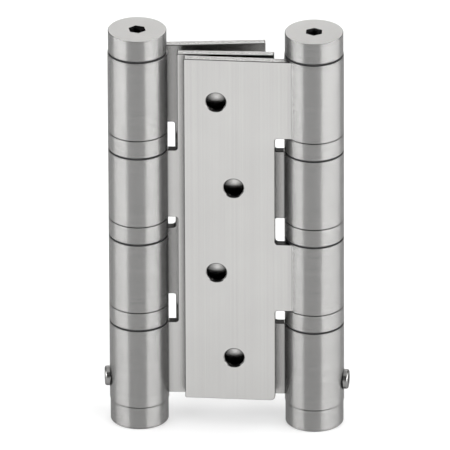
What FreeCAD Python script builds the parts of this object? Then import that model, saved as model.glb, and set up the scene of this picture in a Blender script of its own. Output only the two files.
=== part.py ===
import FreeCAD, Part
import Sketcher

import math
import os
import re

# Double action spring hinge, drawn upright in millimetres.
# Two barrels stand side by side. The front leaf turns on the right barrel, the back leaf on the
# left barrel, and the middle leaf joins both. The origin lies between the barrels, on the plane
# of the bottom caps' lower faces. +X runs to the right barrel, +Z up, and the front leaf is on
# the -Y side.

SIZES = {
    # The three leaves
    "leaf_height": 125.0,
    "plate_lift": 1.9,
    "leaf_thickness": 3.0,
    "fold_gap": 2.7,
    "leaf_end_gap": 5.8,
    "notch_gap": 2.6,
    "middle_notch_gap": 3.2,
    "corner_round": 0.4,
    "lower_corner_round": 1.6,
    "notch_round": 1.0,
    "plate_edge_break": 0.2,
    "weld_round": 1.2,
    "front_fold_angle": 2.6,
    "back_open_angle": 4.6,
    # Screw holes of the outer leaves
    "hole_dia": 6.5,
    "hole_edge_break": 0.3,
    "countersink_depth": 1.4,
    "far_hole_margin": 10.45,
    "near_hole_margin": 16.15,
    "hole_pitch": 30.9,
    # Barrels and their bearing rings
    "barrel_pitch": 57.5,
    "barrel_dia": 19.5,
    "knuckle_wall": 2.25,
    "end_knuckle": 27.75,
    "ring_height": 7.0,
    "edge_break": 0.25,
    "groove_height": 0.35,
    "groove_depth": 0.6,
    "washer_thickness": 0.5,
    "washer_inset": 0.35,
    "end_play": 0.1,
    "ring_spigot": 3.5,
    # Clearances between round pieces
    "press_gap": 0.02,
    "running_gap": 0.08,
    "spring_gap": 0.4,
    # Caps
    "cap_height": 8.0,
    "cap_inset": 0.2,
    "cap_round": 0.35,
    "cap_spigot": 5.0,
    "hex_flats": 5.2,
    "hex_depth": 4.0,
    "cap_web": 1.6,
    "left_hex_turn": 12.0,
    "right_hex_turn": 0.0,
    # Spindle, spring and what holds the spring's ends
    "spindle_dia": 6.0,
    "pilot_depth": 5.0,
    "collar_length": 12.0,
    "anchor_length": 11.0,
    "seat_gap": 0.3,
    "wire": 2.2,
    "tang_length": 3.0,
    "coil_turns": 12.0,
    # Locking screw in the lowest knuckle
    "lock_height": 7.4,
    "lock_turn": 5.0,
    "lock_shank_dia": 4.0,
    "lock_head_dia": 6.5,
    "lock_head_height": 1.6,
    "lock_head_round": 0.7,
    "lock_hex_flats": 2.5,
    "lock_hex_depth": 1.0,
}

# Straights in one turn of the coil
COIL_STRAIGHTS = 14

SIDES = (("left", -1), ("right", 1))

# Sizes that follow from the driving ones, as formulas in their names
DERIVED = {
    "barrel_r": "barrel_dia / 2",
    "bore_r": "(barrel_dia / 2 - knuckle_wall)",
    "inner_knuckle": "(leaf_height - 2 * end_knuckle - 3 * ring_height) / 2",
    "seam": "(washer_thickness + end_play)",
    "leaf_face": "(1.5 * leaf_thickness + fold_gap)",
    "leaf_back": "(0.5 * leaf_thickness + fold_gap)",
    "leaf_reach": "(barrel_pitch - barrel_dia / 2 - leaf_end_gap)",
    "press_r": "(barrel_dia / 2 - knuckle_wall - press_gap)",
    "running_r": "(barrel_dia / 2 - knuckle_wall - running_gap)",
    "spindle_r": "spindle_dia / 2",
    "coil_r": "(spindle_dia / 2 + spring_gap + wire / 2)",
    "ring_bore_r": "(spindle_dia / 2 + 2 * spring_gap + wire)",
    "cap_r": "(barrel_dia / 2 - cap_inset)",
}

doc = FreeCAD.newDocument("DoubleActionHinge")
sheet = doc.addObject("Spreadsheet::Sheet", "Sizes")
for row, (alias, value) in enumerate(SIZES.items(), start=1):
    sheet.set("A%d" % row, alias.replace("_", " "))
    sheet.set("B%d" % row, str(value))
    sheet.setAlias("B%d" % row, alias)
doc.recompute()


def bound(formula):
    """A formula in size names, written as an expression on the sheet."""
    pattern = r"[a-z][a-z_]*"
    opened = re.sub(pattern, lambda m: "(%s)" % DERIVED.get(m[0], m[0]), formula)
    opened = re.sub(r"\((sqrt|sin|cos|tan)\)", r"\1", opened)
    return re.sub(pattern, lambda m: "Sizes." + m[0] if m[0] in SIZES else m[0], opened)


def size(formula):
    """The present value of a formula in size names."""
    return float(sheet.evalExpression(bound(formula)))


def vector(x, y, z=0.0):
    return FreeCAD.Vector(x, y, z)


# Levels of one barrel, measured from the lowest knuckles' lower end: knuckles 4 to 1 and the
# rings between them
KNUCKLES = {
    4: ("0", "end_knuckle"),
    3: ("end_knuckle + ring_height", "end_knuckle + ring_height + inner_knuckle"),
    2: (
        "leaf_height - end_knuckle - ring_height - inner_knuckle",
        "leaf_height - end_knuckle - ring_height",
    ),
    1: ("leaf_height - end_knuckle", "leaf_height"),
}
RINGS = {
    "lower": (KNUCKLES[4][1], KNUCKLES[3][0]),
    "middle": (KNUCKLES[3][1], KNUCKLES[2][0]),
    "upper": (KNUCKLES[2][1], KNUCKLES[1][0]),
}


def new_body(label):
    body = doc.addObject("PartDesign::Body", label)
    body.Label = label
    return body


def origin_plane(body, role):
    for feature in body.Origin.OriginFeatures:
        if feature.Role == role:
            return feature
    raise RuntimeError("no plane " + role)


def new_sketch(body, name, role, lift="0", shift="0"):
    """A sketch on one of the body's own planes, lifted along its normal and shifted along its X."""
    sketch = body.newObject("Sketcher::SketchObject", name)
    sketch.AttachmentSupport = [(origin_plane(body, role), "")]
    sketch.MapMode = "FlatFace"
    sketch.setExpression("AttachmentOffset.Base.z", bound(lift))
    sketch.setExpression("AttachmentOffset.Base.x", bound(shift))
    return sketch


def hold_point(sketch, geometry, point, x, y):
    """Tie one point of a sketch to its two formulas, measured from the sketch's origin."""
    for kind, formula in (("DistanceX", x), ("DistanceY", y)):
        datum = sketch.addConstraint(Sketcher.Constraint(kind, -1, 1, geometry, point, size(formula)))
        sketch.setExpression("Constraints[%d]" % datum, bound(formula))


def draw_outline(sketch, corners):
    """A closed outline of straight lines through corners given as pairs of formulas."""
    places = [vector(size(x), size(y)) for x, y in corners]
    first = sketch.GeometryCount
    count = len(corners)
    for index in range(count):
        sketch.addGeometry(Part.LineSegment(places[index], places[(index + 1) % count]))
    for index in range(count):
        after = first + (index + 1) % count
        sketch.addConstraint(Sketcher.Constraint("Coincident", first + index, 2, after, 1))
    for index, (x, y) in enumerate(corners):
        hold_point(sketch, first + index, 1, x, y)


def draw_circle(sketch, x, y, diameter):
    circle = Part.Circle(vector(size(x), size(y)), vector(0, 0, 1), size(diameter) / 2)
    index = sketch.addGeometry(circle)
    hold_point(sketch, index, 3, x, y)
    datum = sketch.addConstraint(Sketcher.Constraint("Diameter", index, size(diameter)))
    sketch.setExpression("Constraints[%d]" % datum, bound(diameter))


def draw_hexagon(sketch, flats):
    """A hexagon about the sketch's origin, with a corner on its Y axis."""
    corners = []
    for corner in range(6):
        angle = 60 * corner + 90
        corners.append(tuple("%s / sqrt(3) * %s(%d)" % (flats, part, angle) for part in ("cos", "sin")))
    draw_outline(sketch, corners)


def pad(body, sketch, length, name):
    feature = body.newObject("PartDesign::Pad", name)
    feature.Profile = sketch
    feature.setExpression("Length", bound(length))
    doc.recompute()


def cut_checked(body, feature):
    """Recompute a cut and see that it took material away."""
    before = body.Shape.Volume
    doc.recompute()
    if body.Shape.Volume > before - 0.001:
        raise RuntimeError(feature.Label + " cuts nothing")


def pocket(body, sketch, length, name, reverse=False):
    feature = body.newObject("PartDesign::Pocket", name)
    feature.Profile = sketch
    feature.Reversed = reverse
    feature.setExpression("Length", bound(length))
    cut_checked(body, feature)


def edges_where(body, test):
    names = []
    for index, edge in enumerate(body.Shape.Edges, start=1):
        if test(edge):
            names.append("Edge%d" % index)
    if not names:
        raise RuntimeError("no such edges on " + body.Label)
    return names


def dress_edges(body, kind, test, measure, formula, name):
    base = body.Tip
    names = edges_where(body, test)
    feature = body.newObject(kind, name)
    feature.Base = (base, names)
    feature.setExpression(measure, bound(formula))
    doc.recompute()
    if "Invalid" in feature.State:
        raise RuntimeError(name + " failed")


def round_edges(body, test, radius, name):
    dress_edges(body, "PartDesign::Fillet", test, "Radius", radius, name)


def break_edges(body, test, width, name):
    dress_edges(body, "PartDesign::Chamfer", test, "Size", width, name)


def near(a, b):
    return abs(a - b) < 0.001


def is_circle(edge, radius):
    return isinstance(edge.Curve, Part.Circle) and near(edge.Curve.Radius, radius)


def is_upright(edge, x, y):
    """Whether an edge is a straight vertical line through x, y."""
    return all(near(v.X, x) and near(v.Y, y) for v in edge.Vertexes) and isinstance(edge.Curve, Part.Line)


def place(body, x, y, z, turn="0"):
    """Put a finished body at its place, turned about its own upright axis."""
    body.Placement = FreeCAD.Placement(vector(0, 0, 0), FreeCAD.Rotation(vector(0, 0, 1), size(turn)))
    for letter, formula in zip("xyz", (x, y, z)):
        body.setExpression("Placement.Base." + letter, bound(formula))
    body.setExpression("Placement.Rotation.Angle", bound(turn))


def on_barrel(body, side, level, turn="0"):
    """Put a body on a barrel's axis, its own zero at a level above the lowest knuckle's end."""
    place(body, "%d * barrel_pitch / 2" % side, "0", "cap_height + " + level, turn)


def revolve(body, section, name, shift="0"):
    """A full turn of a closed half section of radius and height formulas."""
    sketch = new_sketch(body, name + "_section", "XZ_Plane", shift=shift)
    draw_outline(sketch, section)
    feature = body.newObject("PartDesign::Revolution", name + "_turning")
    feature.Profile = sketch
    feature.ReferenceAxis = (sketch, ["V_Axis"])
    feature.Angle = 360
    doc.recompute()


def turned(label, section):
    body = new_body(label)
    revolve(body, section, label)
    return body


def add_knuckles(body, numbers, axes):
    """Round knuckles, fused to the plate on the given axes."""
    for number in numbers:
        low, high = KNUCKLES[number]
        section = [("0", low), ("barrel_r", low), ("barrel_r", high), ("0", high)]
        for index, x in enumerate(axes):
            revolve(body, section, "knuckle_%d_%d" % (number, index), shift=x)


def bore_knuckles(body, axes):
    sketch = new_sketch(body, "bores", "XY_Plane", "leaf_height")
    for x in axes:
        draw_circle(sketch, x, "0", "2 * bore_r")
    pocket(body, sketch, "leaf_height", "bore_cut")


def plate(body, outline, lift, rounds):
    """A flat plate from its front outline, with groups of corners rounded and all edges broken."""
    sketch = new_sketch(body, "plate_outline", "XZ_Plane", lift)
    draw_outline(sketch, outline)
    pad(body, sketch, "leaf_thickness", "plate_pad")
    for number, (spots, radius) in enumerate(rounds):
        round_edges(body, corner_test(spots), radius, "plate_round_%d" % number)
    faces = (-size(lift), -size(lift) - size("leaf_thickness"))
    break_edges(
        body,
        lambda edge: any(near(edge.BoundBox.YMin, y) and near(edge.BoundBox.YMax, y) for y in faces),
        "plate_edge_break",
        "plate_edges",
    )


def corner_test(corners):
    """A test for the edges through a plate's thickness at the given outline corners."""
    spots = [(size(x), size(z)) for x, z in corners]

    def test(edge):
        ends = edge.Vertexes
        if len(ends) != 2 or not (near(ends[0].X, ends[1].X) and near(ends[0].Z, ends[1].Z)):
            return False
        return any(near(ends[0].X, x) and near(ends[0].Z, z) for x, z in spots)

    return test


def outer_leaf(label, side, turn):
    """A leaf with two knuckles of its own, screw holes and countersinks on its inner face."""
    body = new_body(label)

    # The plate runs to -X from its barrel, on the -Y side, and ends inside the knuckles
    weld_line = "sqrt(barrel_r ^ 2 - leaf_face ^ 2)"
    root = "-%s / 2" % weld_line
    notch = "-(barrel_r + notch_gap)"
    free = "-leaf_reach"
    low, top = "plate_lift", "leaf_height"
    low_3, high_3 = KNUCKLES[3]
    low_1 = KNUCKLES[1][0]
    outline = [
        (free, low), (notch, low), (notch, low_3), (root, low_3), (root, high_3),
        (notch, high_3), (notch, low_1), (root, low_1), (root, top), (free, top),
    ]
    plate(
        body, outline, "leaf_back",
        rounds=[
            ([(free, low), (free, top)], "corner_round"),
            ([(notch, low)], "lower_corner_round"),
            ([(notch, low_3), (notch, high_3), (notch, low_1)], "notch_round"),
        ],
    )
    add_knuckles(body, (1, 3), ("0",))
    bore_knuckles(body, ("0",))
    weld_x = -size(weld_line)
    weld_y = -size("leaf_face")
    round_edges(body, lambda edge: is_upright(edge, weld_x, weld_y), "weld_round", label + "_weld")

    holes = new_sketch(body, label + "_holes", "XZ_Plane", "leaf_back")
    for step, column in ((1.5, "far"), (0.5, "near"), (-0.5, "far"), (-1.5, "near")):
        level = "(plate_lift + leaf_height) / 2 + %g * hole_pitch" % step
        draw_circle(holes, "%s_hole_margin - leaf_reach" % column, level, "hole_dia")
    pocket(body, holes, "leaf_thickness", label + "_hole_cut", reverse=True)
    for face, width in (("leaf_face", "hole_edge_break"), ("leaf_back", "countersink_depth")):
        plane_y = -size(face)
        break_edges(
            body,
            lambda edge: is_circle(edge, size("hole_dia") / 2) and near(edge.Curve.Center.y, plane_y),
            width,
            label + "_" + width,
        )
    on_barrel(body, side, "0", turn)
    return body


def middle_leaf(label):
    """The leaf that joins both barrels, with the locking screws' holes in its lowest knuckles."""
    body = new_body(label)
    root = "(barrel_pitch / 2 - barrel_r / 2)"
    notch = "(barrel_pitch / 2 - barrel_r - middle_notch_gap)"
    top = "leaf_height"
    high_4 = KNUCKLES[4][1]
    low_2, high_2 = KNUCKLES[2]
    right = [
        (root, "plate_lift"), (root, high_4), (notch, high_4), (notch, low_2),
        (root, low_2), (root, high_2), (notch, high_2), (notch, top),
    ]
    left = [("-" + x, z) for x, z in reversed(right)]
    levels = [(top, "corner_round")] + [(level, "notch_round") for level in (high_4, low_2, high_2)]
    plate(
        body, right + left, "-leaf_thickness / 2",
        rounds=[([(notch, z), ("-" + notch, z)], radius) for z, radius in levels],
    )
    axes = ("-barrel_pitch / 2", "barrel_pitch / 2")
    add_knuckles(body, (2, 4), axes)
    bore_knuckles(body, axes)

    # Each screw hole runs outwards from its barrel's axis, turned a little to the front
    for side_name, side in SIDES:
        sketch = new_sketch(body, side_name + "_lock_hole", "YZ_Plane", "%d * barrel_pitch / 2" % side)
        angle = -side * size("lock_turn")
        if side < 0:
            angle += 180
        turn = FreeCAD.Rotation(vector(0, 1, 0), angle)
        sketch.AttachmentOffset = FreeCAD.Placement(vector(0, 0, 0), turn)
        draw_circle(sketch, "0", "lock_height", "lock_shank_dia + 2 * running_gap")
        pocket(body, sketch, "barrel_dia", side_name + "_lock_cut", reverse=True)
    on_barrel(body, 0, "0")
    return body


def bearing_ring(label, side, levels):
    """A flanged ring: its upper spigot seats in the knuckle above, its lower one is a journal.

    A shallow groove under the upper knuckle shows the seam between the two.
    """
    low, high = levels
    height = "((%s) - (%s) - seam)" % (high, low)
    body = turned(label, [
        ("ring_bore_r", "-seam - ring_spigot"), ("running_r", "-seam - ring_spigot"), ("running_r", "0"),
        ("barrel_r - edge_break", "0"), ("barrel_r", "edge_break"),
        ("barrel_r", height + " - groove_height"),
        ("barrel_r - groove_depth", height + " - groove_height"), ("barrel_r - groove_depth", height),
        ("press_r", height), ("press_r", height + " + ring_spigot"),
        ("ring_bore_r", height + " + ring_spigot"),
    ])
    on_barrel(body, side, "(%s) + seam" % low)


def thrust_washer(label, side, level):
    body = turned(label, [
        ("bore_r", "0"), ("barrel_r - washer_inset", "0"),
        ("barrel_r - washer_inset", "washer_thickness"), ("bore_r", "washer_thickness"),
    ])
    on_barrel(body, side, "(%s)" % level)


def top_cap(label, side, hex_turn):
    """The adjusting cap: hexagon socket on top, spigot in the highest knuckle."""
    disc = "(cap_height - seam)"
    hollow = "(%s - hex_depth - cap_web)" % disc
    body = turned(label, [
        ("0", hollow), ("spindle_r + press_gap", hollow), ("spindle_r + press_gap", "-seam - cap_spigot"),
        ("running_r", "-seam - cap_spigot"), ("running_r", "0"), ("cap_r - edge_break", "0"),
        ("cap_r", "edge_break"), ("cap_r", disc), ("0", disc),
    ])
    top_z = size(disc)
    round_edges(
        body,
        lambda edge: is_circle(edge, size("cap_r")) and near(edge.Curve.Center.z, top_z),
        "cap_round",
        label + "_edge",
    )
    sketch = new_sketch(body, label + "_socket", "XY_Plane", disc)
    draw_hexagon(sketch, "hex_flats")
    pocket(body, sketch, "hex_depth", label + "_socket_cut")
    on_barrel(body, side, "leaf_height + seam", hex_turn)


def bottom_cap(label, side):
    """The plug of the lowest knuckle, with the pilot bore that the spindle's foot turns in."""
    body = turned(label, [
        ("0", "0"), ("cap_r", "0"), ("cap_r", "cap_height - groove_height"),
        ("cap_r - groove_depth", "cap_height - groove_height"), ("cap_r - groove_depth", "cap_height"),
        ("press_r", "cap_height"),
        ("press_r", "cap_height + ring_spigot"), ("spindle_r + running_gap", "cap_height + ring_spigot"),
        ("spindle_r + running_gap", "cap_height - pilot_depth"), ("0", "cap_height - pilot_depth"),
    ])
    round_edges(
        body,
        lambda edge: is_circle(edge, size("cap_r")) and near(edge.Curve.Center.z, 0),
        "cap_round",
        label + "_edge",
    )
    on_barrel(body, side, "(-cap_height)")


def spindle(label, side):
    foot = "(-pilot_depth + seat_gap)"
    head = "(leaf_height + cap_height - hex_depth - cap_web - press_gap)"
    body = turned(label, [
        ("0", foot), ("spindle_r - edge_break", foot), ("spindle_r", foot + " + edge_break"),
        ("spindle_r", head + " - edge_break"), ("spindle_r - edge_break", head), ("0", head),
    ])
    on_barrel(body, side, "0")


# Levels of what holds the spring, from the lowest knuckle's lower end
COLLAR_LOW = "(ring_spigot + seat_gap)"
COLLAR_HIGH = "(ring_spigot + seat_gap + collar_length)"
ANCHOR_HIGH = "(leaf_height - cap_spigot - seat_gap)"
ANCHOR_LOW = "(leaf_height - cap_spigot - seat_gap - anchor_length)"
COIL_LOW = "(ring_spigot + 2 * seat_gap + collar_length)"
COIL_HIGH = "(leaf_height - cap_spigot - 2 * seat_gap - anchor_length)"


def spring_holder(label, side, outer_r, inner_r, low, high, tang_end):
    """A drilled plug with the pocket that takes one end of the spring."""
    length = "((%s) - (%s))" % (high, low)
    body = turned(label, [
        (inner_r, "0"), (outer_r, "0"), (outer_r, length), (inner_r, length),
    ])
    slot = "(wire + 2 * seat_gap)"
    depth = "(tang_length + seat_gap)"
    at_top = tang_end == "high"
    sketch = new_sketch(body, label + "_slot", "XY_Plane", length if at_top else "0")
    draw_outline(sketch, [
        ("coil_r - %s / 2" % slot, "-%s / 2" % slot), ("coil_r + %s / 2" % slot, "-%s / 2" % slot),
        ("coil_r + %s / 2" % slot, "%s / 2" % slot), ("coil_r - %s / 2" % slot, "%s / 2" % slot),
    ])
    pocket(body, sketch, depth, label + "_slot_cut", reverse=not at_top)
    on_barrel(body, side, low)


def torsion_spring(label, side):
    """Square wire wound round the spindle, with a straight tang at each end."""
    wire = size("wire")
    half = wire / 2
    radius = size("coil_r")
    low = size(COIL_LOW) + half
    high = size(COIL_HIGH) - half
    tang = size("tang_length")

    # Short straights between sections that keep one side upright
    corners = [(-half, -half), (half, -half), (half, half), (-half, half), (-half, -half)]
    count = COIL_STRAIGHTS * int(round(size("coil_turns")))
    sections = []
    for index in range(count + 1):
        angle = 2 * math.pi * index / COIL_STRAIGHTS
        outwards = vector(math.cos(angle), math.sin(angle))
        height = low + (high - low) * index / count
        middle = outwards * radius + vector(0, 0, height)
        ring = [middle + outwards * x + vector(0, 0, z) for x, z in corners]
        sections.append(Part.makePolygon(ring))
    coil = Part.makeLoft(sections, True, True)
    foot = Part.makeBox(wire, wire, tang + wire, vector(radius - half, -half, low - half - tang))
    head = Part.makeBox(wire, wire, tang + wire, vector(radius - half, -half, high - half))
    spring = doc.addObject("Part::Feature", label)
    spring.Label = label
    spring.Shape = coil.fuse([foot, head])
    spring.Placement = FreeCAD.Placement(
        vector(side * size("barrel_pitch / 2"), 0, size("cap_height")), FreeCAD.Rotation()
    )


def locking_screw(label, side):
    """A low round-headed screw through the lowest knuckle, its tip just clear of the collar."""
    head_low = size("barrel_r + press_gap")
    tip = "(bore_r - running_gap + seat_gap)"
    seat = "(barrel_r + press_gap)"
    head = "(barrel_r + press_gap + lock_head_height)"
    shank_r, head_r = "lock_shank_dia / 2", "lock_head_dia / 2"
    body = turned(label, [
        ("0", tip), (shank_r, tip), (shank_r, seat), (head_r, seat), (head_r, head), ("0", head),
    ])
    round_edges(
        body,
        lambda edge: is_circle(edge, size(head_r)) and edge.Curve.Center.z > head_low + 0.1,
        "lock_head_round",
        label + "_dome",
    )
    sketch = new_sketch(body, label + "_recess", "XY_Plane", head)
    draw_hexagon(sketch, "lock_hex_flats")
    pocket(body, sketch, "lock_hex_depth", label + "_recess_cut")
    angle = math.radians(size("lock_turn"))
    outwards = vector(side * math.cos(angle), -math.sin(angle))
    body.Placement = FreeCAD.Placement(
        vector(side * size("barrel_pitch / 2"), 0, size("cap_height + lock_height")),
        FreeCAD.Rotation(vector(0, 0, 1), outwards),
    )


def build_barrel(name, side):
    for place_name, levels in RINGS.items():
        bearing_ring("%s_%s_bearing_ring" % (name, place_name), side, levels)
        thrust_washer("%s_%s_thrust_washer" % (name, place_name), side, levels[0])
    thrust_washer(name + "_cap_washer", side, "leaf_height")
    top_cap(name + "_top_cap", side, name + "_hex_turn")
    bottom_cap(name + "_bottom_cap", side)
    spindle(name + "_spindle", side)
    spring_holder(
        name + "_tension_collar", side, "running_r", "spindle_r + press_gap",
        COLLAR_LOW, COLLAR_HIGH, tang_end="high",
    )
    spring_holder(
        name + "_spring_anchor", side, "press_r", "spindle_r + spring_gap",
        ANCHOR_LOW, ANCHOR_HIGH, tang_end="low",
    )
    torsion_spring(name + "_torsion_spring", side)
    locking_screw(name + "_locking_screw", side)


def finished_parts():
    """Every sub-part of the document, after a look at the state of all its objects."""
    doc.recompute()
    for item in doc.Objects:
        if "Invalid" in item.State or "Error" in item.State:
            raise RuntimeError("%s failed: %s" % (item.Label, item.State))
    parts = []
    for item in doc.Objects:
        if item.TypeId in ("PartDesign::Body", "Part::Feature"):
            if item.Shape.isNull() or not item.Shape.isValid():
                raise RuntimeError(item.Label + " has no valid shape")
            parts.append(item)
    return parts


outer_leaf("front_leaf", 1, "-front_fold_angle")
outer_leaf("back_leaf", -1, "180 + back_open_angle")
middle_leaf("middle_leaf")
for barrel_name, barrel_side in SIDES:
    build_barrel(barrel_name, barrel_side)

os.makedirs("parts", exist_ok=True)
for part in finished_parts():
    part.Shape.exportStep("parts/%s.step" % part.Label)
    print(part.Label, len(part.Shape.Solids), round(part.Shape.Volume, 1))
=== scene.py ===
"""Finishes, light and camera for a double action spring hinge in satin stainless steel."""

import math

import bmesh
import bpy
from bpy.props import FloatProperty, FloatVectorProperty, PointerProperty
from bpy.types import Operator, Panel, PropertyGroup
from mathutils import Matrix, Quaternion, Vector


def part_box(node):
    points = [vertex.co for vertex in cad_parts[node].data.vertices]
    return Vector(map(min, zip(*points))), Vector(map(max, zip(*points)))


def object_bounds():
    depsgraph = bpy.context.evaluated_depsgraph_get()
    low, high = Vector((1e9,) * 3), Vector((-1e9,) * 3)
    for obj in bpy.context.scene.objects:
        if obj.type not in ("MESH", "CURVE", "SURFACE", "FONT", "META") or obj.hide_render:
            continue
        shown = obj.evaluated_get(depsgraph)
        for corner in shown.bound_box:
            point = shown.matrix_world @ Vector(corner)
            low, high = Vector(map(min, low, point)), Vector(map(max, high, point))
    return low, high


bl_info = {
    "name": "Double Action Hinge Finish",
    "version": (1, 0, 0),
    "blender": (4, 5, 0),
    "location": "View3D > Sidebar > Hinge",
    "description": "Finishes and lights the leaves, barrels and fittings of a hinge",
    "category": "Object",
}

FLOAT = "NodeSocketFloat"
VECTOR = "NodeSocketVector"

# Roughness of the satin steel, and what the barrels and the ends each add to it
SATIN_ROUGHNESS = 0.18
COARSE_ROUGHNESS = 0.06

# The barrels' coarser brushing scatters part of the light as a dull surface does
BARREL_METALLIC = 0.8

# Roughness and line slope of the plain turned steel inside the barrels
INNER_ROUGHNESS = 0.2
INNER_SLOPE = 0.2

# Tint of the steels' reflections at a grazing angle
EDGE_TINT = (0.35, 0.35, 0.35, 1.0)

# Noise scales: per line width for the lines and the streaks, per metre for the clouds
LINE_SCALE = 0.11
STREAK_SCALE = 0.03
CLOUD_SCALE = 55.0

# Nearly all values of a noise texture lie between these
NOISE_LOW = 0.3
NOISE_HIGH = 0.7

# Shares by which the noises lighten and darken the steel, and change its gloss
CLOUD_SHARE = 0.02
LINE_SHARE = 0.025
PLATE_STREAK_SHARE = 0.022
BARREL_STREAK_SHARE = 0.045
GLOSS_SHARE = 0.06

# Outside the barrel's radius a leaf is a knuckle up to the first distance, and a plate from the
# second
KNUCKLE_REACH = 0.00005
PLATE_START = 0.00035

# Upright part of a face's direction, where a side turns to a slant and a slant to an end
SLANT_FROM, SLANT_TO = 0.15, 0.3
END_FROM, END_TO = 0.85, 0.95

# Openness at which the painted crevice shade is at its darkest, and at which it ends
CREVICE_SHUT = 0.3
CREVICE_OPEN = 0.9

# Ends that lie this far below the plates' tops are cuts
CUT_DEPTH = 0.002

# The sockets lie within this radius, and this far below the caps' tops
SOCKET_RADIUS = 0.0031
SOCKET_DEPTH = 0.00005

# Half the floor's side, and its gap below the hinge
FLOOR_HALF = 30.0
FLOOR_GAP = 0.00005

# Dullness of the floor, its weak shine, and the share by which it is mottled
FLOOR_ROUGHNESS = 0.9
FLOOR_SHINE = 0.1
FLOOR_MOTTLE = 0.005

# How far from the hinge the floor turns from lit to plain white
FLOOR_NEAR = 0.4
FLOOR_FAR = 0.9

# Share of plain white that the floor has under the hinge too, which keeps its shadow faint
FLOOR_GLOW = 0.4

# Spread and tilt of the light from above
TOP_SPREAD = math.radians(60.0)
TOP_TILT = math.radians(-4.0)

# Elevation, distance and sizes of the side lamps
SIDE_ELEVATION = math.radians(15.0)
SIDE_DISTANCE = 1.2
SIDE_HEIGHT = 0.62
LEFT_WIDTH = 1.25
RIGHT_WIDTH = 2.0

# Elevation, distance and size of the back lamp
BACK_ELEVATION = math.radians(30.0)
BACK_DISTANCE = 1.6
BACK_WIDTH = 1.4
BACK_HEIGHT = 0.7

# The camera looks at a point of the barrels' plane this far from the middle, to the side and up
AIM_SIDE = -0.00044
AIM_UP = 0.00009
SENSOR_WIDTH = 36.0
CLIP_END = 100.0

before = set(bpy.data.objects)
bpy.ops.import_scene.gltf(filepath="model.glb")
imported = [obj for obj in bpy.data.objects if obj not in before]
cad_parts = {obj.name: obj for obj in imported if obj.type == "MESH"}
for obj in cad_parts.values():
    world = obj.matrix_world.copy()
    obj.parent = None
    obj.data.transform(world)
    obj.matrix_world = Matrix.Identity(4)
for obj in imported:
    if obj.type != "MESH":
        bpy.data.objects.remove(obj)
cad_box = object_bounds()

LEAVES = ("front_leaf", "middle_leaf", "back_leaf")
SIDES = ("left", "right")
LEVELS = ("lower", "middle", "upper")


def both_sides(*names):
    """Node names of like pieces on the left and the right barrel."""
    return ["%s_%s" % (side, name) for side in SIDES for name in names]


# The barrels' axes and radius and the levels of the caps' and plates' tops, from the frame
ring_low, ring_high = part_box("right_upper_bearing_ring")
BARREL_X = (ring_low.x + ring_high.x) / 2
BARREL_RADIUS = (ring_high.x - ring_low.x) / 2
CAP_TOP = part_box("right_top_cap")[1].z
PLATE_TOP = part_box("front_leaf")[1].z


class HingeSteelSettings(PropertyGroup):
    """Colours and grain of the steel pieces."""

    plate_color: FloatVectorProperty(
        name="Plate Color",
        description="Satin steel of the flat leaves",
        subtype="COLOR",
        default=(0.492, 0.487, 0.478),
        min=0.0,
        max=1.0,
    )
    barrel_color: FloatVectorProperty(
        name="Barrel Color",
        description="Turned steel of the knuckles, rings and caps",
        subtype="COLOR",
        default=(0.24, 0.2378, 0.234),
        min=0.0,
        max=1.0,
    )
    spring_color: FloatVectorProperty(
        name="Spring Color",
        description="Oiled spring wire",
        subtype="COLOR",
        default=(0.16, 0.155, 0.15),
        min=0.0,
        max=1.0,
    )
    # Painted shade: the bottoms of the hexagon sockets take this near black colour
    socket_shade_color: FloatVectorProperty(
        name="Socket Shade Color",
        description="Painted shade at the bottom of the hexagon sockets",
        subtype="COLOR",
        default=(0.012, 0.012, 0.012),
        min=0.0,
        max=1.0,
    )
    washer_color: FloatVectorProperty(
        name="Washer Color",
        description="Black plastic of the thrust washers",
        subtype="COLOR",
        default=(0.012, 0.012, 0.013),
        min=0.0,
        max=1.0,
    )
    # Painted shade: the plates' notch cuts, hole walls and slanted edges keep only this share of
    # their brightness
    cut_painted_shade: FloatProperty(
        name="Cut Painted Shade",
        description="Share of the plates' brightness that the notch cuts and hole walls keep as painted shade",
        default=0.2,
        min=0.0,
        max=1.0,
    )
    line_width: FloatProperty(
        name="Brush Line Width",
        description="Width of one brushed line",
        default=0.000025,
        unit="LENGTH",
        min=0.00002,
        max=0.005,
    )
    plate_slope: FloatProperty(
        name="Plate Line Slope",
        description="Slope of the brushed lines' sides on the leaves",
        default=0.24,
        min=0.0,
        max=1.0,
    )
    barrel_slope: FloatProperty(
        name="Barrel Line Slope",
        description="Slope of the brushed lines' sides round the barrels",
        default=0.5,
        min=0.0,
        max=1.0,
    )


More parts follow.
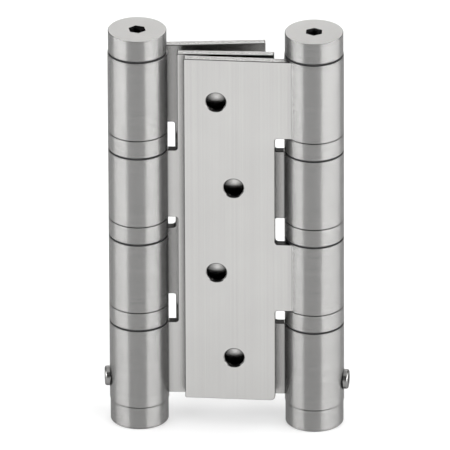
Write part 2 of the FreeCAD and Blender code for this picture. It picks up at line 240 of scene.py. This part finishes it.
class HingeStageSettings(PropertyGroup):
    """Floor, lamps and camera."""

    floor_color: FloatVectorProperty(
        name="Floor Color",
        description="Plain pale floor",
        subtype="COLOR",
        default=(0.95, 0.95, 0.95),
        min=0.0,
        max=1.0,
    )
    world_level: FloatProperty(
        name="Room Level",
        description="Brightness of the room round the lamps",
        default=0.12,
        min=0.0,
        max=2.0,
    )
    top_strength: FloatProperty(
        name="Top Light",
        description="Strength of the broad light from above",
        default=1.3,
        min=0.0,
        max=20.0,
    )
    side_radiance: FloatProperty(
        name="Side Light",
        description="Brightness of the broad soft lamps on both sides",
        default=7.8,
        min=0.0,
        max=50.0,
    )
    left_azimuth: FloatProperty(
        name="Left Light Azimuth",
        description="How far the left lamp stands from the hinge's front",
        default=math.radians(68.0),
        unit="ROTATION",
    )
    right_azimuth: FloatProperty(
        name="Right Light Azimuth",
        description="How far the right lamp stands from the hinge's front",
        default=math.radians(71.0),
        unit="ROTATION",
    )
    back_radiance: FloatProperty(
        name="Back Light",
        description="Brightness of the soft lamp behind, which the caps' tops reflect",
        default=2.8,
        min=0.0,
        max=50.0,
    )
    view_azimuth: FloatProperty(
        name="View Azimuth",
        description="Turn of the camera round the hinge",
        default=math.radians(2.44),
        unit="ROTATION",
    )
    view_elevation: FloatProperty(
        name="View Elevation",
        description="Height of the camera above the horizon",
        default=math.radians(26.22),
        unit="ROTATION",
    )
    view_roll: FloatProperty(
        name="View Roll",
        description="Turn of the camera about its own axis",
        default=math.radians(-0.24),
        unit="ROTATION",
    )
    view_distance: FloatProperty(
        name="View Distance",
        description="From the camera to the point that it looks at",
        default=5.0,
        unit="LENGTH",
    )
    view_width: FloatProperty(
        name="View Width",
        description="Width of the picture at the hinge",
        default=0.14703,
        unit="LENGTH",
    )


# Node helpers

def feed(tree, socket, value):
    """Links a socket to another one, or sets its own value."""
    if isinstance(value, bpy.types.NodeSocket):
        tree.links.new(value, socket)
    elif isinstance(value, (tuple, list)) and len(value) == 3 and socket.type == "RGBA":
        socket.default_value = (*value, 1.0)
    else:
        socket.default_value = value


def add_node(tree, kind, inputs=None, **settings):
    """A new node with its settings made and its inputs fed, by name or number."""
    node = tree.nodes.new(kind)
    for name, value in settings.items():
        setattr(node, name, value)
    for key, value in (inputs or {}).items():
        feed(tree, node.inputs[key], value)
    return node


def math_of(tree, operation, *values):
    """The result of a Math node on sockets or numbers."""
    node = add_node(tree, "ShaderNodeMath", dict(enumerate(values)), operation=operation)
    return node.outputs[0]


def product(tree, first, *others):
    """Sockets or numbers multiplied."""
    for other in others:
        first = math_of(tree, "MULTIPLY", first, other)
    return first


def without(tree, mask):
    """What a mask leaves free: one less its value."""
    return math_of(tree, "SUBTRACT", 1.0, mask)


def vector_of(tree, operation, *values):
    """The result of a Vector Math node on sockets or vectors."""
    node = add_node(tree, "ShaderNodeVectorMath", dict(enumerate(values)), operation=operation)
    return node.outputs["Value" if operation in ("LENGTH", "DOT_PRODUCT") else "Vector"]


def joined(tree, x, y, z=0.0):
    """A vector of three sockets or numbers."""
    return add_node(tree, "ShaderNodeCombineXYZ", {"X": x, "Y": y, "Z": z}).outputs[0]


def gray(tree, level):
    """A colour whose three parts are one value."""
    return joined(tree, level, level, level)


def normal_between(tree, normal, start, end):
    """A surface direction brought from world to object space, or back."""
    return add_node(
        tree,
        "ShaderNodeVectorTransform",
        {0: normal},
        vector_type="NORMAL",
        convert_from=start,
        convert_to=end,
    ).outputs[0]


def mixed(tree, kind, factor, first, second):
    """Two values, vectors or colours mixed by a factor."""
    node = tree.nodes.new("ShaderNodeMix")
    node.data_type = kind
    wanted = {"FLOAT": "VALUE", "VECTOR": "VECTOR", "RGBA": "RGBA"}[kind]
    ends = [s for s in node.inputs if s.type == wanted and s.name in ("A", "B")]
    feed(tree, node.inputs[0], factor)
    feed(tree, ends[0], first)
    feed(tree, ends[1], second)
    return next(s for s in node.outputs if s.type == wanted)


def ranged(tree, value, from_low, from_high, to_low, to_high, smooth=False):
    """A value carried from one range to another and held inside it."""
    node = add_node(
        tree,
        "ShaderNodeMapRange",
        {"Value": value, 1: from_low, 2: from_high, 3: to_low, 4: to_high},
        interpolation_type="SMOOTHSTEP" if smooth else "LINEAR",
    )
    return node.outputs[0]


def object_place(tree):
    """The point's place on its own piece."""
    return add_node(tree, "ShaderNodeTexCoord").outputs["Object"]


def height_of(tree, place):
    """The upright part of a place or a direction."""
    return add_node(tree, "ShaderNodeSeparateXYZ", {0: place}).outputs["Z"]


def new_group(name, inputs, outputs):
    """A shader node group with named sockets, given as name, kind and default."""
    tree = bpy.data.node_groups.new(name, "ShaderNodeTree")
    for socket_name, kind, default in inputs:
        socket = tree.interface.new_socket(socket_name, in_out="INPUT", socket_type=kind)
        socket.default_value = default
    for socket_name, kind in outputs:
        tree.interface.new_socket(socket_name, in_out="OUTPUT", socket_type=kind)
    entry = tree.nodes.new("NodeGroupInput")
    leave = tree.nodes.new("NodeGroupOutput")
    return tree, entry.outputs, leave.inputs


def shared_group(name, build):
    """A node group by name, built at its first use."""
    return bpy.data.node_groups.get(name) or build()


def group_outputs(tree, name, build, inputs=None):
    """The outputs of a shared group placed in a tree, with its inputs fed."""
    node = add_node(tree, "ShaderNodeGroup", inputs, node_tree=shared_group(name, build))
    return node.outputs


def barrel_place_group():
    """Where a point lies on the nearer barrel: its place from the axis, its radius, the way
    round, and whether it is on a knuckle."""
    tree, given, made = new_group(
        "Barrel Place",
        [("Axis X", FLOAT, BARREL_X), ("Barrel Radius", FLOAT, BARREL_RADIUS)],
        [("Offset", VECTOR), ("Radius", FLOAT), ("Around", VECTOR), ("On Barrel", FLOAT)],
    )
    parts = add_node(tree, "ShaderNodeSeparateXYZ", {0: object_place(tree)}).outputs
    axis = product(tree, math_of(tree, "SIGN", parts["X"]), given["Axis X"])
    across = math_of(tree, "SUBTRACT", parts["X"], axis)
    radius = vector_of(tree, "LENGTH", joined(tree, across, parts["Y"]))
    around = joined(tree, product(tree, parts["Y"], -1.0), across)
    outside = math_of(tree, "SUBTRACT", radius, given["Barrel Radius"])
    feed(tree, made["Offset"], joined(tree, across, parts["Y"], parts["Z"]))
    feed(tree, made["Radius"], radius)
    feed(tree, made["Around"], vector_of(tree, "NORMALIZE", around))
    feed(tree, made["On Barrel"], ranged(tree, outside, KNUCKLE_REACH, PLATE_START, 1.0, 0.0))
    return tree


def brushed_grain_group():
    """Fine brushed lines: upright on the plates, round the barrels, straight across all ends."""
    tree, given, made = new_group(
        "Brushed Grain",
        [("Line Width", FLOAT, 0.000025), ("Line Length", FLOAT, 0.016),
         ("Plate Slope", FLOAT, 0.2), ("Barrel Slope", FLOAT, 0.34),
         ("End Slope", FLOAT, 0.25), ("All Turned", FLOAT, 0.0)],
        [("Lines", FLOAT), ("Streaks", FLOAT), ("Clouds", FLOAT), ("On Barrel", FLOAT),
         ("On Round", FLOAT), ("On End", FLOAT), ("On Slant", FLOAT), ("Normal", VECTOR)],
    )
    place = group_outputs(tree, "Barrel Place", barrel_place_group)
    turned = math_of(tree, "MAXIMUM", place["On Barrel"], given["All Turned"])
    fine = math_of(tree, "DIVIDE", 1.0, given["Line Width"])
    slow = math_of(tree, "DIVIDE", 1.0, given["Line Length"])
    surface = add_node(tree, "ShaderNodeNewGeometry").outputs["Normal"]
    own = normal_between(tree, surface, "WORLD", "OBJECT")
    level = math_of(tree, "ABSOLUTE", height_of(tree, own))
    on_end = ranged(tree, level, END_FROM, END_TO, 0.0, 1.0)
    off_end = without(tree, on_end)

    # The noises are stretched along the lines
    sides = mixed(
        tree, "VECTOR", turned, joined(tree, fine, fine, slow), joined(tree, slow, slow, fine)
    )
    scale = mixed(tree, "VECTOR", on_end, sides, joined(tree, slow, fine, fine))
    spot = vector_of(tree, "MULTIPLY", place["Offset"], scale)
    rings = product(tree, place["Radius"], fine, turned)

    def stretched_noise(scale_by, detail):
        return add_node(
            tree,
            "ShaderNodeTexNoise",
            {"Vector": spot, "W": rings, "Scale": scale_by, "Detail": detail, "Roughness": 0.55},
            noise_dimensions="4D",
        ).outputs[0]

    clouds = add_node(
        tree,
        "ShaderNodeTexNoise",
        {"Vector": place["Offset"], "Scale": CLOUD_SCALE, "Detail": 3.0, "Roughness": 0.5},
    ).outputs[0]

    # The lines' sides tilt the surface across the way that the lines run, as regular fine waves
    beside = mixed(tree, "VECTOR", turned, (0.0, 0.0, 1.0), place["Around"])
    along = mixed(tree, "VECTOR", on_end, beside, (1.0, 0.0, 0.0))
    across = vector_of(tree, "CROSS_PRODUCT", own, along)
    sloped = mixed(tree, "FLOAT", turned, given["Plate Slope"], given["Barrel Slope"])
    strength = mixed(tree, "FLOAT", on_end, sloped, given["End Slope"])
    side_way = mixed(tree, "VECTOR", turned, (1.0, 1.0, 0.0), (0.0, 0.0, 1.0))
    cross_way = mixed(tree, "VECTOR", on_end, side_way, (0.0, 1.0, 0.0))
    distance = vector_of(tree, "DOT_PRODUCT", place["Offset"], cross_way)
    wave = math_of(tree, "PINGPONG", product(tree, distance, fine), 1.0)
    slope = product(tree, ranged(tree, wave, 0.0, 1.0, -1.0, 1.0), strength)
    tilt = add_node(
        tree, "ShaderNodeVectorMath", {0: across, "Scale": slope}, operation="SCALE"
    ).outputs[0]
    leaning = vector_of(tree, "NORMALIZE", vector_of(tree, "ADD", own, tilt))
    slant = ranged(tree, level, SLANT_FROM, SLANT_TO, 0.0, 1.0)
    results = {
        "Lines": stretched_noise(LINE_SCALE, 1.0),
        "Streaks": stretched_noise(STREAK_SCALE, 2.0),
        "Clouds": clouds,
        "On Barrel": turned,
        "On Round": product(tree, turned, off_end),
        "On End": on_end,
        "On Slant": product(tree, slant, off_end, without(tree, turned)),
        "Normal": normal_between(tree, leaning, "OBJECT", "WORLD"),
    }
    for name, value in results.items():
        feed(tree, made[name], value)
    return tree


def painted_crevice_shade_group():
    """How open a surface is to the room, and painted shade that darkens it in gaps, seams and
    holes.
    """
    tree, given, made = new_group(
        "Painted Crevice Shade",
        [("Plate Reach", FLOAT, 0.004), ("Barrel Reach", FLOAT, 0.0008),
         ("Depth", FLOAT, 0.93), ("On Barrel", FLOAT, 0.0)],
        [("Open", FLOAT)],
    )
    reach = mixed(tree, "FLOAT", given["On Barrel"], given["Plate Reach"], given["Barrel Reach"])
    openness = add_node(tree, "ShaderNodeAmbientOcclusion", {"Distance": reach}, samples=4)
    darkest = without(tree, given["Depth"])
    shown = ranged(tree, openness.outputs["AO"], CREVICE_SHUT, CREVICE_OPEN, darkest, 1.0)
    feed(tree, made["Open"], shown)
    return tree


def new_material(name, roughness, metallic):
    """A material with its Principled shader, and that shader's tree."""
    material = bpy.data.materials.new(name)
    material.use_nodes = True
    tree = material.node_tree
    shader = tree.nodes["Principled BSDF"]
    shader.inputs["Roughness"].default_value = roughness
    shader.inputs["Metallic"].default_value = metallic
    if metallic:
        shader.inputs["Specular Tint"].default_value = EDGE_TINT
    return material, tree, shader


def shade(tree, color, noise, dark, light):
    """A colour made darker and lighter by a noise."""
    factor = ranged(tree, noise, NOISE_LOW, NOISE_HIGH, dark, light)
    return vector_of(tree, "MULTIPLY", color, gray(tree, factor))


def varied(tree, color, noise, share):
    """A colour that a noise makes darker and lighter by the same share."""
    return shade(tree, color, noise, 1.0 - share, 1.0 + share)


def brushed_steel(name, turned, barrel_slope, roughness=SATIN_ROUGHNESS):
    """Brushed steel, turned everywhere or only where a leaf has its knuckles: the material,
    its shader and its grain's outputs."""
    steel = bpy.context.scene.hinge_steel
    material, tree, shader = new_material(name, roughness, 1.0)
    grain = group_outputs(tree, "Brushed Grain", brushed_grain_group, {
        "All Turned": 1.0 if turned else 0.0,
        "Line Width": steel.line_width,
        "Plate Slope": steel.plate_slope,
        "Barrel Slope": barrel_slope,
    })
    crevice = group_outputs(tree, "Painted Crevice Shade", painted_crevice_shade_group, {"On Barrel": grain["On Barrel"]})
    on_round = grain["On Round"]
    base = mixed(tree, "RGBA", on_round, tuple(steel.plate_color), tuple(steel.barrel_color))
    clouded = varied(tree, base, grain["Clouds"], CLOUD_SHARE)
    lined = varied(tree, clouded, grain["Lines"], LINE_SHARE)
    on_plate = varied(tree, lined, grain["Streaks"], PLATE_STREAK_SHARE)
    round_barrel = varied(tree, lined, grain["Streaks"], BARREL_STREAK_SHARE)
    streaked = mixed(tree, "RGBA", on_round, on_plate, round_barrel)
    # Painted shade: the colour darkens where gaps, seams and holes shut the surface in
    shown = vector_of(tree, "MULTIPLY", streaked, gray(tree, crevice["Open"]))
    coarse = math_of(tree, "ADD", grain["On Barrel"], grain["On End"])
    rough = math_of(tree, "ADD", product(tree, coarse, COARSE_ROUGHNESS), roughness)
    gloss = ranged(
        tree, grain["Clouds"], NOISE_LOW, NOISE_HIGH, 1.0 - GLOSS_SHARE, 1.0 + GLOSS_SHARE
    )
    feed(tree, shader.inputs["Base Color"], shown)
    feed(tree, shader.inputs["Roughness"], product(tree, rough, gloss))
    feed(tree, shader.inputs["Metallic"], mixed(tree, "FLOAT", on_round, 1.0, BARREL_METALLIC))
    feed(tree, shader.inputs["Normal"], grain["Normal"])
    return material, shader, grain


def mottled(name, color, metallic, scale, detail, tones, roughness):
    """A plain material with a fine mottle, whose tone and roughness vary between two ends."""
    material, tree, shader = new_material(name, sum(roughness) / 2, metallic)
    mottle = add_node(
        tree, "ShaderNodeTexNoise", {"Vector": object_place(tree), "Scale": scale, "Detail": detail}
    ).outputs[0]
    feed(tree, shader.inputs["Base Color"], shade(tree, tuple(color), mottle, *tones))
    feed(tree, shader.inputs["Roughness"], ranged(tree, mottle, NOISE_LOW, NOISE_HIGH, *roughness))
    return material


def recolored(tree, shader, mask, change):
    """Gives the shader another colour where a mask lies, made from the one that it has."""
    socket = shader.inputs["Base Color"]
    plain = socket.links[0].from_socket
    feed(tree, socket, mixed(tree, "RGBA", mask, plain, change(plain)))


def wear(names, material):
    """Gives CAD nodes their material."""
    for name in names:
        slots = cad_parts[name].data.materials
        slots.clear()
        slots.append(material)


class HINGE_OT_finish_leaves(Operator):
    """Satin plates with upright lines, rougher notch cuts and hole walls darkened as painted shade,
    and knuckles brushed round
    """

    bl_idname = "hinge.finish_leaves"
    bl_label = "Finish Leaves"

    def execute(self, context):
        steel = context.scene.hinge_steel
        material, shader, grain = brushed_steel(
            "Satin Leaf Steel", turned=False, barrel_slope=steel.barrel_slope
        )
        tree = material.node_tree
        height = height_of(tree, object_place(tree))
        below = math_of(tree, "LESS_THAN", height, PLATE_TOP - CUT_DEPTH)
        cut = product(tree, grain["On End"], without(tree, grain["On Barrel"]), below)
        # Painted shade on the notch cuts, hole walls and slanted edges, which lie in gaps and
        # hollows; the added roughness of the cuts is real
        painted_cut_shade = math_of(tree, "MAXIMUM", cut, grain["On Slant"])
        recolored(
            tree, shader, painted_cut_shade,
            lambda plain: vector_of(tree, "MULTIPLY", plain, gray(tree, steel.cut_painted_shade)),
        )
        wear(LEAVES, material)
        return {"FINISHED"}


class HINGE_OT_finish_rings(Operator):
    """Turned bearing rings between the knuckles"""

    bl_idname = "hinge.finish_rings"
    bl_label = "Finish Bearing Rings"

    def execute(self, context):
        steel = context.scene.hinge_steel
        material, _, _ = brushed_steel(
            "Turned Ring Steel", turned=True, barrel_slope=steel.barrel_slope
        )
        wear(both_sides(*["%s_bearing_ring" % level for level in LEVELS]), material)
        return {"FINISHED"}


class HINGE_OT_finish_caps(Operator):
    """Turned caps, brushed straight across their ends, with painted shade at the bottom of their
    hexagon sockets
    """

    bl_idname = "hinge.finish_caps"
    bl_label = "Finish Caps"

    def execute(self, context):
        steel = context.scene.hinge_steel
        material, shader, _ = brushed_steel(
            "Turned Cap Steel", turned=True, barrel_slope=steel.barrel_slope
        )
        tree = material.node_tree
        place = group_outputs(tree, "Barrel Place", barrel_place_group)
        height = height_of(tree, place["Offset"])
        # Painted shade: the bottom of each hexagon socket is coloured near black
        sunk = math_of(tree, "LESS_THAN", height, CAP_TOP - SOCKET_DEPTH)
        near = math_of(tree, "LESS_THAN", place["Radius"], SOCKET_RADIUS)
        recolored(tree, shader, product(tree, sunk, near), lambda plain: tuple(steel.socket_shade_color))
        wear(both_sides("top_cap", "bottom_cap"), material)
        return {"FINISHED"}


class HINGE_OT_finish_screws(Operator):
    """Small round-headed locking screws"""

    bl_idname = "hinge.finish_screws"
    bl_label = "Finish Locking Screws"

    def execute(self, context):
        material = mottled(
            "Screw Steel", context.scene.hinge_steel.barrel_color, metallic=1.0,
            scale=900.0, detail=3.0, tones=(0.9, 1.1), roughness=(0.24, 0.36),
        )
        wear(both_sides("locking_screw"), material)
        return {"FINISHED"}


class HINGE_OT_finish_washers(Operator):
    """Matt black thrust washers"""

    bl_idname = "hinge.finish_washers"
    bl_label = "Finish Washers"

    def execute(self, context):
        material = mottled(
            "Black Washer Plastic", context.scene.hinge_steel.washer_color, metallic=0.0,
            scale=1500.0, detail=3.0, tones=(0.8, 1.3), roughness=(0.5, 0.7),
        )
        names = ["%s_thrust_washer" % level for level in LEVELS]
        wear(both_sides("cap_washer", *names), material)
        return {"FINISHED"}


class HINGE_OT_finish_springs(Operator):
    """Oiled dark spring wire"""

    bl_idname = "hinge.finish_springs"
    bl_label = "Finish Springs"

    def execute(self, context):
        material = mottled(
            "Oiled Spring Wire", context.scene.hinge_steel.spring_color, metallic=1.0,
            scale=600.0, detail=4.0, tones=(0.8, 1.2), roughness=(0.28, 0.45),
        )
        wear(both_sides("torsion_spring"), material)
        return {"FINISHED"}


class HINGE_OT_finish_inner_steel(Operator):
    """Plain turned steel of the spindles, tension collars and spring anchors"""

    bl_idname = "hinge.finish_inner_steel"
    bl_label = "Finish Inner Steel"

    def execute(self, context):
        material, _, _ = brushed_steel(
            "Inner Turned Steel", turned=True, barrel_slope=INNER_SLOPE, roughness=INNER_ROUGHNESS
        )
        wear(both_sides("spindle", "tension_collar", "spring_anchor"), material)
        return {"FINISHED"}


def area_lamp(name, azimuth, elevation, distance, width, height, radiance):
    """A soft rectangular lamp that faces the hinge's middle."""
    low, high = cad_box
    middle = (low + high) / 2
    data = bpy.data.lights.new(name, "AREA")
    data.shape = "RECTANGLE"
    data.size = width
    data.size_y = height
    data.energy = radiance * math.pi * width * height
    lamp = bpy.data.objects.new(name, data)
    bpy.context.scene.collection.objects.link(lamp)
    place = round_about(azimuth, elevation, distance, middle)
    lamp.location = place
    lamp.rotation_mode = "QUATERNION"
    lamp.rotation_quaternion = (middle - place).to_track_quat("-Z", "Y")


def round_about(azimuth, elevation, distance, aim):
    """A point seen from another one at an azimuth from the -Y side and an elevation."""
    flat = math.cos(elevation)
    way = Vector((math.sin(azimuth) * flat, -math.cos(azimuth) * flat, math.sin(elevation)))
    return aim + way * distance


class HINGE_OT_build_stage(Operator):
    """Pale floor, soft studio lamps, room light and the camera"""

    bl_idname = "hinge.build_stage"
    bl_label = "Build Stage"

    def execute(self, context):
        stage = context.scene.hinge_stage
        self.build_floor(context, stage)
        self.build_lamps(context, stage)
        self.build_camera(context, stage)
        context.scene.view_settings.view_transform = "Standard"
        return {"FINISHED"}

    def build_floor(self, context, stage):
        mesh = bpy.data.meshes.new("floor")
        shape = bmesh.new()
        bmesh.ops.create_grid(shape, x_segments=1, y_segments=1, size=FLOOR_HALF)
        bmesh.ops.translate(shape, verts=shape.verts, vec=(0.0, 0.0, cad_box[0].z - FLOOR_GAP))
        shape.to_mesh(mesh)
        shape.free()
        floor = bpy.data.objects.new("floor", mesh)
        context.scene.collection.objects.link(floor)
        material, tree, shader = new_material("Pale Floor", FLOOR_ROUGHNESS, 0.0)
        shader.inputs["Specular IOR Level"].default_value = FLOOR_SHINE
        spot = object_place(tree)
        mottle = add_node(tree, "ShaderNodeTexNoise", {"Vector": spot, "Scale": 8.0}).outputs[0]
        near_color = varied(tree, tuple(stage.floor_color), mottle, FLOOR_MOTTLE)

        # Far from the hinge the floor is plain white to the eye and in reflections, as a
        # studio's backdrop
        path = add_node(tree, "ShaderNodeLightPath").outputs
        mirrored = math_of(tree, "MAXIMUM", path["Is Glossy Ray"], path["Is Transmission Ray"])
        seen = math_of(tree, "MAXIMUM", path["Is Camera Ray"], mirrored)
        reach = vector_of(tree, "LENGTH", spot)
        away = ranged(tree, reach, FLOOR_NEAR, FLOOR_FAR, 0.0, 1.0, smooth=True)
        plain = product(tree, seen, math_of(tree, "MAXIMUM", away, FLOOR_GLOW))
        color = mixed(tree, "RGBA", plain, near_color, (0.0, 0.0, 0.0))
        feed(tree, shader.inputs["Base Color"], color)
        feed(tree, shader.inputs["Emission Color"], gray(tree, plain))
        shader.inputs["Emission Strength"].default_value = 1.0
        mesh.materials.append(material)

    def build_lamps(self, context, stage):
        sun = bpy.data.lights.new("top_light", "SUN")
        sun.energy = stage.top_strength
        sun.angle = TOP_SPREAD
        lamp = bpy.data.objects.new("top_light", sun)
        context.scene.collection.objects.link(lamp)
        lamp.rotation_euler = (TOP_TILT, 0.0, 0.0)
        for name, azimuth, width in (
            ("left_panel", -stage.left_azimuth, LEFT_WIDTH),
            ("right_panel", stage.right_azimuth, RIGHT_WIDTH),
        ):
            area_lamp(
                name, azimuth, SIDE_ELEVATION, SIDE_DISTANCE,
                width, SIDE_HEIGHT, stage.side_radiance,
            )
        area_lamp(
            "back_panel", math.pi, BACK_ELEVATION, BACK_DISTANCE,
            BACK_WIDTH, BACK_HEIGHT, stage.back_radiance,
        )
        world = bpy.data.worlds.new("studio_room")
        world.use_nodes = True
        level = stage.world_level
        background = world.node_tree.nodes["Background"]
        background.inputs["Color"].default_value = (level, level, level, 1.0)
        context.scene.world = world

    def build_camera(self, context, stage):
        low, high = cad_box
        aim = Vector((AIM_SIDE, 0.0, (low.z + high.z) / 2 + AIM_UP))
        data = bpy.data.cameras.new("camera")
        data.sensor_width = SENSOR_WIDTH
        data.lens = data.sensor_width * stage.view_distance / stage.view_width
        data.clip_end = CLIP_END
        camera = bpy.data.objects.new("camera", data)
        context.scene.collection.objects.link(camera)
        camera.location = round_about(
            stage.view_azimuth, stage.view_elevation, stage.view_distance, aim
        )
        camera.rotation_mode = "QUATERNION"
        level = (aim - camera.location).to_track_quat("-Z", "Y")
        camera.rotation_quaternion = level @ Quaternion((0.0, 0.0, 1.0), stage.view_roll)
        context.scene.camera = camera


class HINGE_PT_panel(Panel):
    """Sizes, colours and steps of the hinge's finish"""

    bl_idname = "HINGE_PT_panel"
    bl_label = "Hinge Finish"
    bl_space_type = "VIEW_3D"
    bl_region_type = "UI"
    bl_category = "Hinge"

    def draw(self, context):
        for settings in (context.scene.hinge_steel, context.scene.hinge_stage):
            box = self.layout.box()
            for name in settings.__annotations__:
                box.prop(settings, name)
        for step in STEPS:
            self.layout.operator(step.bl_idname)


STEPS = (
    HINGE_OT_finish_leaves,
    HINGE_OT_finish_rings,
    HINGE_OT_finish_caps,
    HINGE_OT_finish_screws,
    HINGE_OT_finish_washers,
    HINGE_OT_finish_springs,
    HINGE_OT_finish_inner_steel,
    HINGE_OT_build_stage,
)
CLASSES = (HingeSteelSettings, HingeStageSettings, *STEPS, HINGE_PT_panel)


def register():
    """Makes the classes and their settings known to Blender."""
    for item in CLASSES:
        bpy.utils.register_class(item)
    bpy.types.Scene.hinge_steel = PointerProperty(type=HingeSteelSettings)
    bpy.types.Scene.hinge_stage = PointerProperty(type=HingeStageSettings)


def unregister():
    """Takes the classes and their settings out again."""
    del bpy.types.Scene.hinge_stage
    del bpy.types.Scene.hinge_steel
    for item in reversed(CLASSES):
        bpy.utils.unregister_class(item)


def main():
    """Runs every step in order."""
    register()
    bpy.ops.hinge.finish_leaves()
    bpy.ops.hinge.finish_rings()
    bpy.ops.hinge.finish_caps()
    bpy.ops.hinge.finish_screws()
    bpy.ops.hinge.finish_washers()
    bpy.ops.hinge.finish_springs()
    bpy.ops.hinge.finish_inner_steel()
    bpy.ops.hinge.build_stage()


if __name__ == "__main__":
    main()
